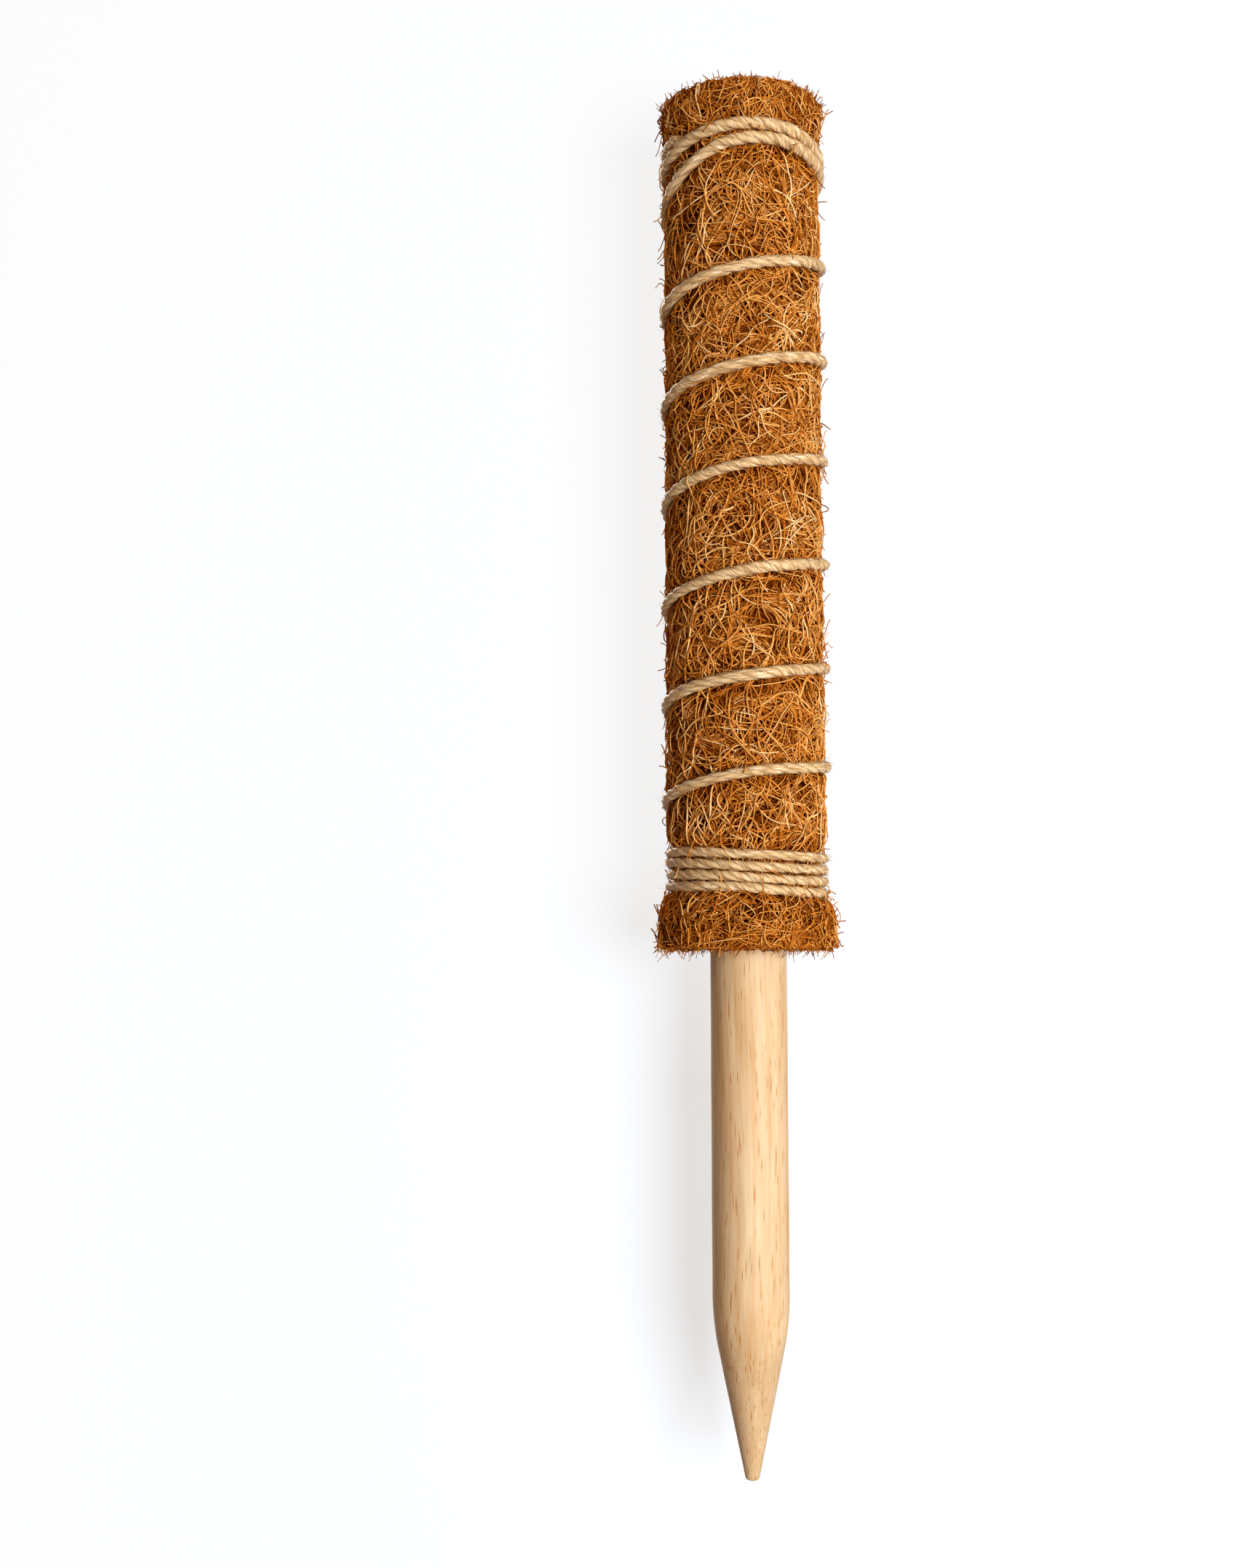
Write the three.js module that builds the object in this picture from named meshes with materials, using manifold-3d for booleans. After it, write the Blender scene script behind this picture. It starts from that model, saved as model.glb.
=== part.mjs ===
// Moss pole: a pointed wooden stake that carries a rolled coir mat, bound with jute twine.
// Millimetres, +Z up along the stake. The origin is on the stake's axis at the soil line,
// level with the mat's lower rim. Angles run from the front (-Y) round towards +X.
import * as THREE from "three";
import { mergeVertices } from "three/addons/utils/BufferGeometryUtils.js";
import Module from "manifold-3d";

const wasm = await Module();
wasm.setup();

const fullTurn = 2 * Math.PI;
const degrees = Math.PI / 180;

// Room left between pieces that lie against each other
const clearance = 0.35;

// Stake: a turned dowel with a blunt point
const stakeDiameter = 22;
const stakeBelowSoil = 150;
const stakeTopRecess = 4; // the mat's upper rim stands this far above the stake
const stakeTopChamfer = 1;
const pointLength = 44;
const tipDiameter = 3.8;
const tipRounding = 0.9;
const shoulderRadius = 70; // eases the dowel into its point
const stakeSides = 36;
const stakeArcDivisions = 3;

// Coir mat: one felt sheet rolled round the stake
const matLength = 250;
const matThickness = 5;
const matWraps = 2;
const matEdgeThickness = 1.2; // the sheet's two free edges are pressed thin
const seamStart = 120 * degrees;
const seamAngle = 40 * degrees; // the arc in which each wrap climbs onto the one below
const matStepsPerWrap = 36;
const lowerFlare = 2.6; // the rims stand out beyond the bound ends
const upperFlare = 1;
const rimShare = 0.55; // of the mat between a rim and the twine that keeps the rim's full flare
const lashingPinch = 1; // how deep the twine draws the mat in at both ends
const pinchBlend = 9;

// Twine: lashed at the bottom, spiralled up the pole and tied off at the top
const twineDiameter = 2.8;
const twineSides = 6;
const twineStepsPerTurn = 24;
const routeSamplesPerStep = 4;
const windingGap = 0.45; // between neighbouring turns of the lower lashing
const closingGap = 1.2; // between neighbouring turns at the top
const lowerMargin = 14.4; // mat below the first turn
const upperMargin = 11.8; // mat above the last turn
const firstTurn = -0.5; // the twine starts at the back
const lashingTurns = 3.8;
const spiralTurns = 6.12;
const runUpTurns = 0.53; // the last, steeper stretch of the spiral
const runUpSteepness = 1.69;
const closingTurns = 1.91;
const pitchBlend = 0.06; // in turns, how gently one pitch passes into the next
const windingSway = 1.9; // the lower turns lie a little lower on the +X side
const spiralDrift = 1.3; // the spiral is tighter at its ends than in its middle
const closingArch = 4.5; // the turns at the top stand higher at the front than at the sides

// Staples: the mat's inner edge and the twine are stapled to the stake
const wireThickness = 0.9;
const wireWidth = 1.2;
const crownWidth = 10;
const woodBite = 5; // how deep the legs reach into the stake
const matStapleNames = ["mat_staple_lower", "mat_staple_middle", "mat_staple_upper"];
const matStapleOffset = 12 * degrees; // past the arc where the mat's inner edge thins out
const lowerStapleTurns = 0.3; // from the lower lashing up to the staple
const upperStapleTurns = 0.35; // from the turns at the top down to the staple

// Sizes that follow from the ones above
const stakeRadius = stakeDiameter / 2;
const stakeTop = matLength - stakeTopRecess;
const boreRadius = stakeRadius + clearance;
const wrapStep = matThickness + clearance;
const rollRadius = boreRadius + matWraps * wrapStep - clearance;
const lashingPitch = twineDiameter + windingGap;
const closingPitch = twineDiameter + closingGap;
const windingTurns = lashingTurns + spiralTurns + runUpTurns + closingTurns;
const spiralStart = firstTurn + lashingTurns;
const runUpStart = spiralStart + spiralTurns;
const closingStart = runUpStart + runUpTurns;
const windingRise = matLength - lowerMargin - upperMargin;
const lashingRise = lashingTurns * lashingPitch;
const closingRise = closingTurns * closingPitch;
const spiralPitch =
  (windingRise - lashingRise - closingRise) / (spiralTurns + runUpTurns * runUpSteepness);
const runUpPitch = spiralPitch * runUpSteepness;

// Materials
const wood = new THREE.MeshStandardMaterial({ color: 0xe8c48c, roughness: 0.6, metalness: 0 });
const coir = new THREE.MeshStandardMaterial({ color: 0xb06c2c, roughness: 0.95, metalness: 0 });
const jute = new THREE.MeshStandardMaterial({ color: 0xc8aa7a, roughness: 0.9, metalness: 0 });
const steel = new THREE.MeshStandardMaterial({ color: 0xb8babd, roughness: 0.35, metalness: 1 });

// Solids for cutting, from closed geometries and back

function solidOf(geometry) {
  const bare = geometry.clone().deleteAttribute("normal").deleteAttribute("uv");
  const merged = mergeVertices(bare, 1e-3);
  return new wasm.Manifold(
    new wasm.Mesh({
      numProp: 3,
      vertProperties: merged.attributes.position.array,
      triVerts: new Uint32Array(merged.index.array),
    }),
  );
}

function geometryOf(solid) {
  const mesh = solid.getMesh();
  const geometry = new THREE.BufferGeometry();
  geometry.setAttribute("position", new THREE.BufferAttribute(mesh.vertProperties, 3));
  geometry.setIndex(new THREE.BufferAttribute(mesh.triVerts, 1));
  geometry.computeVertexNormals();
  return geometry;
}

function withoutCutters(geometry, cutters) {
  return geometryOf(cutters.reduce((rest, cutter) => rest.subtract(cutter), solidOf(geometry)));
}

// A point on the pole at an angle, a radius and a height
function onPole(angle, radius, height, target = new THREE.Vector3()) {
  return target.set(radius * Math.sin(angle), -radius * Math.cos(angle), height);
}

// Stake

function stakeGeometry() {
  const tipRadius = tipDiameter / 2;
  const tip = -stakeBelowSoil;
  const slope = Math.atan2(stakeRadius - tipRadius, pointLength); // of the point's side, off the axis
  const easing = shoulderRadius * Math.tan(slope / 2); // from the sharp corner to where the round starts
  const shoulder = tip + pointLength + easing;
  const outline = new THREE.Path();
  outline.moveTo(0, tip);
  outline.lineTo(tipRadius - tipRounding, tip);
  outline.absarc(tipRadius - tipRounding, tip + tipRounding, tipRounding, -Math.PI / 2, -slope);
  outline.absarc(stakeRadius - shoulderRadius, shoulder, shoulderRadius, -slope, 0);
  outline.lineTo(stakeRadius, stakeTop - stakeTopChamfer);
  outline.lineTo(stakeRadius - stakeTopChamfer, stakeTop);
  outline.lineTo(0, stakeTop);
  return new THREE.LatheGeometry(outline.getPoints(stakeArcDivisions), stakeSides).rotateX(Math.PI / 2);
}

// Coir mat

const lashingBase = lowerMargin - windingSway - twineDiameter / 2;
const lashingTop = lowerMargin + lashingRise + windingSway + twineDiameter;
const closingBase = matLength - upperMargin - closingRise - 2 * closingArch - twineDiameter;
const closingTop = matLength - upperMargin + twineDiameter / 2;

// Heights along the mat and how far its outside stands out of the plain roll there
const matProfile = [
  [0, lowerFlare],
  [lashingBase * rimShare, lowerFlare],
  [lashingBase, -lashingPinch],
  [lashingTop, -lashingPinch],
  [lashingTop + pinchBlend, 0],
  [closingBase - pinchBlend, 0],
  [closingBase, -lashingPinch],
  [closingTop, -lashingPinch],
  [matLength - (matLength - closingTop) * rimShare, upperFlare],
  [matLength, upperFlare],
];

function matBulgeAt(height) {
  const above = matProfile.findIndex(([station]) => station >= height);
  if (above < 1) return matProfile[0][1];
  const [lowHeight, lowBulge] = matProfile[above - 1];
  const [highHeight, highBulge] = matProfile[above];
  return THREE.MathUtils.mapLinear(height, lowHeight, highHeight, lowBulge, highBulge);
}

function matRadiusAt(height) {
  return rollRadius + matBulgeAt(height);
}

// How many layers the roll has climbed, at an angle counted on through the wraps
function layersClimbed(angle) {
  let layers = 0;
  for (let wrap = 0; wrap < matWraps; wrap++) {
    layers += THREE.MathUtils.clamp((angle - wrap * fullTurn) / seamAngle, 0, 1);
  }
  return layers;
}

// The sheet's outer face lies a clearance under the inner face that is one turn further on
const rollFaces = {
  outer: (angle) => boreRadius + wrapStep * layersClimbed(angle) - clearance,
  inner: (angle) => boreRadius + wrapStep * layersClimbed(angle - fullTurn),
};

function matGeometry() {
  const innerEdge = (seamAngle * (matEdgeThickness + clearance)) / wrapStep;
  const outerEdge = matWraps * fullTurn + seamAngle - innerEdge;
  const rollAngle = outerEdge - innerEdge;
  const steps = Math.round((rollAngle / fullTurn) * matStepsPerWrap);
  const ring = 2 * (steps + 1);
  const points = [];
  const triangles = [];
  const quad = (a, b, c, d) => triangles.push(a, b, c, a, c, d);

  for (const [height, bulge] of matProfile) {
    const swell = 1 + bulge / (rollRadius - boreRadius);
    const addPoint = (step, face) => {
      const angle = innerEdge + (rollAngle * step) / steps;
      const radius = boreRadius + (rollFaces[face](angle) - boreRadius) * swell;
      points.push(onPole(seamStart + angle, radius, height));
    };
    for (let step = 0; step <= steps; step++) addPoint(step, "outer");
    for (let step = steps; step >= 0; step--) addPoint(step, "inner");
  }

  for (let row = 0; row < matProfile.length - 1; row++) {
    for (let i = 0; i < ring; i++) {
      const next = (i + 1) % ring;
      const [low, high] = [row * ring, (row + 1) * ring];
      quad(low + i, low + next, high + next, high + i);
    }
  }
  const top = (matProfile.length - 1) * ring;
  for (let i = 0; i < steps; i++) {
    const facing = ring - 1 - i;
    quad(top + i, top + i + 1, top + facing - 1, top + facing);
    quad(i + 1, i, facing, facing - 1);
  }
  return new THREE.BufferGeometry().setFromPoints(points).setIndex(triangles);
}

// Twine

// Zero below the corner and rising one for one above it, rounded over by pitchBlend
function softRamp(turns) {
  return (turns + Math.hypot(turns, pitchBlend)) / 2;
}

function twineHeight(turn) {
  const spiralShare = THREE.MathUtils.clamp((turn - spiralStart) / spiralTurns, 0, 1);
  const archShare = THREE.MathUtils.smoothstep(turn, runUpStart, closingStart);
  return (
    lowerMargin +
    lashingPitch * (turn - firstTurn) +
    (spiralPitch - lashingPitch) * softRamp(turn - spiralStart) +
    (runUpPitch - spiralPitch) * softRamp(turn - runUpStart) +
    (closingPitch - runUpPitch) * softRamp(turn - closingStart) -
    windingSway * (1 - spiralShare) * Math.sin(turn * fullTurn) -
    spiralDrift * Math.sin(spiralShare * fullTurn) -
    closingArch * archShare * (1 - Math.cos(turn * fullTurn))
  );
}

// The twine's straight steps cut the corner of each turn, so its corners stand out a little
function twineRadius(turn) {
  const radius = matRadiusAt(twineHeight(turn)) + clearance + twineDiameter / 2;
  return radius / Math.cos(Math.PI / twineStepsPerTurn);
}

class TwineRoute extends THREE.Curve {
  getPoint(share, target = new THREE.Vector3()) {
    const turn = firstTurn + share * windingTurns;
    return onPole(turn * fullTurn, twineRadius(turn), twineHeight(turn), target);
  }
}

function twineGeometry(route) {
  const section = new THREE.Shape();
  for (let side = 0; side < twineSides; side++) {
    const angle = (side / twineSides) * fullTurn;
    const corner = [Math.cos(angle), Math.sin(angle)].map((share) => (share * twineDiameter) / 2);
    if (side === 0) section.moveTo(...corner);
    else section.lineTo(...corner);
  }
  const steps = Math.round(windingTurns * twineStepsPerTurn);
  return new THREE.ExtrudeGeometry(section, { steps, extrudePath: route });
}

// The least room between two stretches of the winding that are more than half a turn apart
function leastGap(route) {
  const pointsPerTurn = 2 * twineStepsPerTurn;
  const points = route.getPoints(Math.round(windingTurns * pointsPerTurn));
  const stretch = new THREE.Line3();
  const nearest = new THREE.Vector3();
  let least = Infinity;
  for (let i = 0; i < points.length; i++) {
    for (let j = i + pointsPerTurn / 2; j + 1 < points.length; j++) {
      stretch.set(points[j], points[j + 1]).closestPointToPoint(points[i], true, nearest);
      least = Math.min(least, nearest.distanceTo(points[i]));
    }
  }
  return least - twineDiameter;
}

// Staples

// A staple at the front of the pole, crown upright, its legs pointing at the axis.
// Grown by a margin on all sides it is the cutter for its own holes.
function stapleGeometry(crownRadius, margin = 0) {
  const half = crownWidth / 2 + margin;
  const wire = wireThickness + 2 * margin;
  const top = crownRadius + margin;
  const point = stakeRadius - woodBite - margin;
  const outline = new THREE.Shape();
  outline.moveTo(-half, point);
  outline.lineTo(-half + wire, point + wire);
  outline.lineTo(-half + wire, top - wire);
  outline.lineTo(half - wire, top - wire);
  outline.lineTo(half - wire, point + wire);
  outline.lineTo(half, point);
  outline.lineTo(half, top - wire / 2);
  outline.lineTo(half - wire / 2, top);
  outline.lineTo(-half + wire / 2, top);
  outline.lineTo(-half, top - wire / 2);
  const depth = wireWidth + 2 * margin;
  const upright = new THREE.Matrix4().makeBasis(
    new THREE.Vector3(0, 0, 1),
    new THREE.Vector3(0, -1, 0),
    new THREE.Vector3(1, 0, 0),
  );
  return new THREE.ExtrudeGeometry(outline, { depth, bevelEnabled: false })
    .translate(0, 0, -depth / 2)
    .applyMatrix4(upright);
}

const matStaples = matStapleNames.map((name, i) => ({
  name,
  crownRadius: boreRadius + matThickness, // pressed in flush with the first wrap
  angle: seamStart + seamAngle + matStapleOffset,
  height: ((i + 0.5) / matStapleNames.length) * matLength,
}));

function twineStaple(name, turn) {
  const crownRadius = twineRadius(turn) + twineDiameter / 2 + clearance + wireThickness;
  return { name, crownRadius, angle: turn * fullTurn, height: twineHeight(turn) };
}

const staples = [
  ...matStaples,
  twineStaple("twine_staple_lower", spiralStart + lowerStapleTurns),
  twineStaple("twine_staple_upper", closingStart - upperStapleTurns),
];

const stapleCutters = staples.map(({ crownRadius, angle, height }) => {
  const place = new THREE.Matrix4().makeRotationZ(angle).setPosition(0, 0, height);
  return solidOf(stapleGeometry(crownRadius, clearance).applyMatrix4(place));
});

// Assembly

function addPiece(group, name, geometry, material) {
  const piece = new THREE.Mesh(geometry, material);
  piece.name = name;
  group.add(piece);
  return piece;
}

const twineRoute = new TwineRoute();
twineRoute.arcLengthDivisions = Math.round(windingTurns * twineStepsPerTurn * routeSamplesPerStep);

const mossPole = new THREE.Group();
addPiece(mossPole, "stake", withoutCutters(stakeGeometry(), stapleCutters), wood);
addPiece(mossPole, "coir_mat", withoutCutters(matGeometry(), stapleCutters), coir);
addPiece(mossPole, "twine", twineGeometry(twineRoute), jute);
for (const { name, crownRadius, angle, height } of staples) {
  const staple = addPiece(mossPole, name, stapleGeometry(crownRadius), steel.clone());
  staple.rotation.z = angle;
  staple.position.z = height;
}

console.log(`twine length ${(twineRoute.getLength() / 1000).toFixed(2)} m`);
console.log(`twine's least gap to itself ${leastGap(twineRoute).toFixed(2)} mm`);

export default mossPole;
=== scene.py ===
import math

import bmesh
import bpy
import numpy as np
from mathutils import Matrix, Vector


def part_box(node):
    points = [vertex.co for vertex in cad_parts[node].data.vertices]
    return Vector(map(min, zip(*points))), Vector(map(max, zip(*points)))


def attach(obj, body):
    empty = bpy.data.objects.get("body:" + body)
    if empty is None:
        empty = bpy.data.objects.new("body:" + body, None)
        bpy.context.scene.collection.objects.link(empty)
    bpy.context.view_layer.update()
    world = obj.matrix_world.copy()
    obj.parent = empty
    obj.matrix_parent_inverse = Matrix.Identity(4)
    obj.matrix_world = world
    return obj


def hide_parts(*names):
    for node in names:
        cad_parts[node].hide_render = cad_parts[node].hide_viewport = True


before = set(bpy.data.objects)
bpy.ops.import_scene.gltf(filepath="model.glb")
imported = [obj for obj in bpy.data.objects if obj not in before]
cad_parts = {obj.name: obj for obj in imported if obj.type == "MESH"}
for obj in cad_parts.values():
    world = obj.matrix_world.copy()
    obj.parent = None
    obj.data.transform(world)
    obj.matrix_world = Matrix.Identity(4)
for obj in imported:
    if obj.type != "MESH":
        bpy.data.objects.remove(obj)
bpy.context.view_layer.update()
mm = 0.001
fullTurn = 2 * math.pi
white = (1, 1, 1, 1)
random = np.random.default_rng(11)
print("frame loaded:", ", ".join(sorted(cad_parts)))


# Camera: stands in front of the pole, a little to its left, and looks slightly up

view = {
    "place": (-34.9, -523.2, 4.0),  # mm
    "pitchUp": 4.7,  # degrees
    "roll": 0.14,
    "focalPixels": 2480,
    "photoHeight": 2156,
    "sensor": 36,  # mm, the long side of the picture
    "nearest": 10,  # mm
}


def makeCamera():
    data = bpy.data.cameras.new("camera")
    data.sensor_width = view["sensor"]
    data.lens = view["focalPixels"] / view["photoHeight"] * view["sensor"]
    data.clip_start = view["nearest"] * mm
    camera = bpy.data.objects.new("camera", data)
    camera.location = Vector(view["place"]) * mm
    camera.rotation_euler = (math.radians(90 + view["pitchUp"]), math.radians(view["roll"]), 0)
    bpy.context.scene.collection.objects.link(camera)
    bpy.context.scene.camera = camera


makeCamera()
print("camera set")


# Small helpers for modelling

def nothingSelected():
    bpy.ops.object.select_all(action="DESELECT")


def selectParts(piece, kind, wanted):  # faces or edges, in edit mode
    bpy.ops.mesh.select_all(action="DESELECT")
    bpy.ops.mesh.select_mode(type=kind)
    shape = bmesh.from_edit_mesh(piece.data)
    for part in shape.faces if kind == "FACE" else shape.edges:
        part.select_set(wanted(part))
    bmesh.update_edit_mesh(piece.data)


def applyModifiers(piece):
    bpy.context.view_layer.objects.active = piece
    for modifier in list(piece.modifiers):
        bpy.ops.object.modifier_apply(modifier=modifier.name)


def addLumps(piece, name, size, strength):  # mm
    lumps = bpy.data.textures.new(name, "CLOUDS")
    lumps.noise_scale = size * mm
    modifier = piece.modifiers.new(name, "DISPLACE")
    modifier.texture = lumps
    modifier.strength = strength * mm


def unit(vectors):
    return vectors / np.linalg.norm(vectors, axis=-1, keepdims=True)


def smoothStep(share):
    return share ** 2 * (3 - 2 * share)


def fading(distance, reach):  # 1 at no distance, near 0 at twice the reach
    return np.exp(-((distance / reach) ** 2))


def foldBetween(value, low, high):  # what runs past a limit is turned back
    value = low + np.abs(value - low)
    return high - np.abs(high - value)


# Small helpers for materials

def newMaterial(name):
    material = bpy.data.materials.new(name)
    material.use_nodes = True
    tree = material.node_tree
    return material, tree, tree.nodes["Principled BSDF"]


def feed(tree, node, inputs):  # outputs are linked, plain values are set
    for key, value in inputs.items():
        if isinstance(value, bpy.types.NodeSocket):
            tree.links.new(value, node.inputs[key])
        else:
            node.inputs[key].default_value = value


def addNode(tree, kind, inputs=None, **settings):
    node = tree.nodes.new(kind)
    for key, value in settings.items():
        setattr(node, key, value)
    feed(tree, node, inputs or {})
    return node


def objectPlace(tree):
    return addNode(tree, "ShaderNodeTexCoord").outputs["Object"]


def mapPlace(tree):
    return addNode(tree, "ShaderNodeUVMap", uv_map="OFBake").outputs["UV"]


def axesOf(tree, place):
    return addNode(tree, "ShaderNodeSeparateXYZ", {0: place}).outputs


def fromSrgb(red, green, blue):
    def linear(level):
        level /= 255
        return level / 12.92 if level <= 0.04045 else ((level + 0.055) / 1.055) ** 2.4

    return (linear(red), linear(green), linear(blue), 1)


def colourRamp(tree, factor, stops):
    ramp = addNode(tree, "ShaderNodeValToRGB", {"Fac": factor})
    elements = ramp.color_ramp.elements
    while len(elements) < len(stops):
        elements.new(0.5)
    for element, (place, colour) in zip(elements, stops):
        element.position = place
        element.color = colour
    return ramp.outputs["Color"]


def mixColour(tree, factor, first, second, blend="MIX"):
    inputs = {0: factor, 6: first, 7: second}  # the node's sockets for colours
    return addNode(tree, "ShaderNodeMix", inputs, data_type="RGBA", blend_type=blend).outputs[2]


def timesLevel(tree, colour, level):
    grey = addNode(tree, "ShaderNodeCombineColor", {0: level, 1: level, 2: level})
    return mixColour(tree, 1.0, colour, grey.outputs[0], "MULTIPLY")


def maths(tree, operation, first, second=0.0):
    return addNode(tree, "ShaderNodeMath", {0: first, 1: second}, operation=operation).outputs[0]


def vectorMaths(tree, operation, first, second):
    return addNode(tree, "ShaderNodeVectorMath", {0: first, 1: second}, operation=operation).outputs[0]


def mapRange(tree, value, low, high, outLow=0.0, outHigh=1.0):
    inputs = {"Value": value, "From Min": low, "From Max": high, "To Min": outLow, "To Max": outHigh}
    return addNode(tree, "ShaderNodeMapRange", inputs).outputs["Result"]


def noise(tree, place, scale, detail, roughness=0.5, output="Fac"):
    inputs = {"Vector": place, "Scale": scale, "Detail": detail, "Roughness": roughness}
    return addNode(tree, "ShaderNodeTexNoise", inputs).outputs[output]


def addBump(tree, shader, height, strength, depth):
    bump = addNode(tree, "ShaderNodeBump", {"Height": height, "Strength": strength, "Distance": depth})
    tree.links.new(bump.outputs["Normal"], shader.inputs["Normal"])


# Strands: many thin tubes in one mesh, each with its own column in the colour map

def ringsAround(centres, radii, outward, sides):
    along = unit(np.gradient(centres, axis=1))
    sideways = unit(np.cross(along, outward))
    lifted = np.cross(along, sideways)
    angles = np.arange(sides) * fullTurn / sides
    turn = (
        np.cos(angles)[:, None] * sideways[:, :, None, :]
        + np.sin(angles)[:, None] * lifted[:, :, None, :]
    )
    return centres[:, :, None, :] + radii[:, :, None, None] * turn


def strandMesh(name, centres, radii, outward, sides, columns, lengthMap, darker=0.0):
    rings = ringsAround(centres, radii, outward, sides)
    count, steps = centres.shape[:2]
    index = np.arange(count * steps * sides).reshape(count, steps, sides)
    following = np.roll(index, -1, axis=2)
    quads = np.stack([index[:, :-1], following[:, :-1], following[:, 1:], index[:, 1:]], axis=3)
    caps = np.concatenate([index[:, 0, ::-1], index[:, -1]])

    edge = np.arange(sides + 1) / sides  # round the strand
    across = columns[:, :1] + (columns[:, 1:] - columns[:, :1]) * edge
    shift = np.minimum(darker, columns[:, :1])  # towards darker columns, for the painted shade beside the twine
    across = across[:, None, :] - np.broadcast_to(shift, (count, steps))[:, :, None]
    low, high = lengthMap[:, :-1], lengthMap[:, 1:]
    u = [across[:, :-1, :-1], across[:, :-1, 1:], across[:, 1:, 1:], across[:, 1:, :-1]]
    v = [np.broadcast_to(x[:, :, None], quads.shape[:3]) for x in (low, low, high, high)]
    quadMap = np.stack([np.stack(u, axis=3), np.stack(v, axis=3)], axis=4)
    capAngles = np.arange(sides) * fullTurn / sides
    middle, half = columns.mean(axis=1), (columns[:, 1] - columns[:, 0]) / 2
    capU = middle[:, None] + half[:, None] * np.cos(capAngles)
    capV = 0.5 + half[:, None] * np.sin(capAngles)
    capMap = np.stack([np.concatenate([capU, capU]), np.concatenate([capV, capV])], axis=2)

    mesh = bpy.data.meshes.new(name)
    mesh.vertices.add(rings.size // 3)
    mesh.vertices.foreach_set("co", (rings * mm).astype(np.float32).ravel())
    corners = np.concatenate([quads.ravel(), caps.ravel()]).astype(np.int32)
    quadCount, capCount = quads.size // 4, len(caps)
    starts = np.concatenate([np.arange(quadCount) * 4, quadCount * 4 + np.arange(capCount) * sides])
    mesh.loops.add(len(corners))
    mesh.loops.foreach_set("vertex_index", corners)
    mesh.polygons.add(quadCount + capCount)
    mesh.polygons.foreach_set("loop_start", starts.astype(np.int32))
    mesh.update(calc_edges=True)
    mesh.shade_smooth()
    layer = mesh.uv_layers.new(name="OFBake")
    layer.data.foreach_set("uv", np.concatenate([quadMap.ravel(), capMap.ravel()]).astype(np.float32))
    mesh.validate()
    piece = bpy.data.objects.new(name, mesh)
    bpy.context.scene.collection.objects.link(piece)
    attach(piece, "root")
    return piece


def curledPaths(start, heading, curl, length, points):
    length = length[:, None, None]
    run = np.linspace(0, 1, points)[None, :, None] * length
    return start[:, None, :] + heading[:, None, :] * run + curl[:, None, :] * run ** 2 / length


# The mat's outside: pinched in under the twine's lashings, flared at both rims (mm)

mat = {
    "length": 250,
    "bore": 11.35,
    "thickness": 5,
    "wrapGap": 0.35,
    "wraps": 2,
    "seamStart": math.radians(120),
    "seamAngle": math.radians(40),
    "edgeThickness": 1.2,
    "fuller": 0.8,  # the roll stands out a little on its -X side
    "fibreLow": -0.6,
    "fibreHigh": 249.3,
    "boundHeights": (0, 6.1, 11.1, 31.4, 40.4, 209.8, 218.8, 239.6, 244.3, 250),  # under the twine
    "boundBulges": (2.6, 2.6, -1.0, -1.0, 0, 0, -0.4, -0.4, 1.0, 1.0),
    "freeHeights": (0, 8, 11, 14, 17, 29, 32, 40, 60, 210, 236, 242, 246, 250),  # between its turns
    "freeBulges": (2.9, 2.7, 2.0, 0.9, -0.6, -0.6, 0.3, 0.4, 0.1, 0.1, 0.1, 0.5, 1.0, 1.0),
}
mat["step"] = mat["thickness"] + mat["wrapGap"]
mat["radius"] = mat["bore"] + mat["wraps"] * mat["step"] - mat["wrapGap"]


def fullerSide(angle):
    return mat["fuller"] * np.clip(-np.sin(angle), 0, 1) ** 2


def boundRadius(angle, height):
    bulge = np.interp(height, mat["boundHeights"], mat["boundBulges"])
    return mat["radius"] + fullerSide(angle) / 2 + bulge


def freeRadius(angle, height):
    bulge = np.interp(height, mat["freeHeights"], mat["freeBulges"])
    return mat["radius"] + fullerSide(angle) + bulge


def onPole(angle, radius, height):  # angles run from the front towards +X
    x, y = radius * np.sin(angle), -radius * np.cos(angle)
    return np.stack(np.broadcast_arrays(x, y, height), axis=-1)


def outwardAt(angle):
    return onPole(angle, np.ones_like(angle), np.zeros_like(angle))


def keepOnMat(height):
    return foldBetween(height, mat["fibreLow"], mat["fibreHigh"])


# The twine's route: lashed at the bottom, spiralled up, tied off at the top

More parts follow.
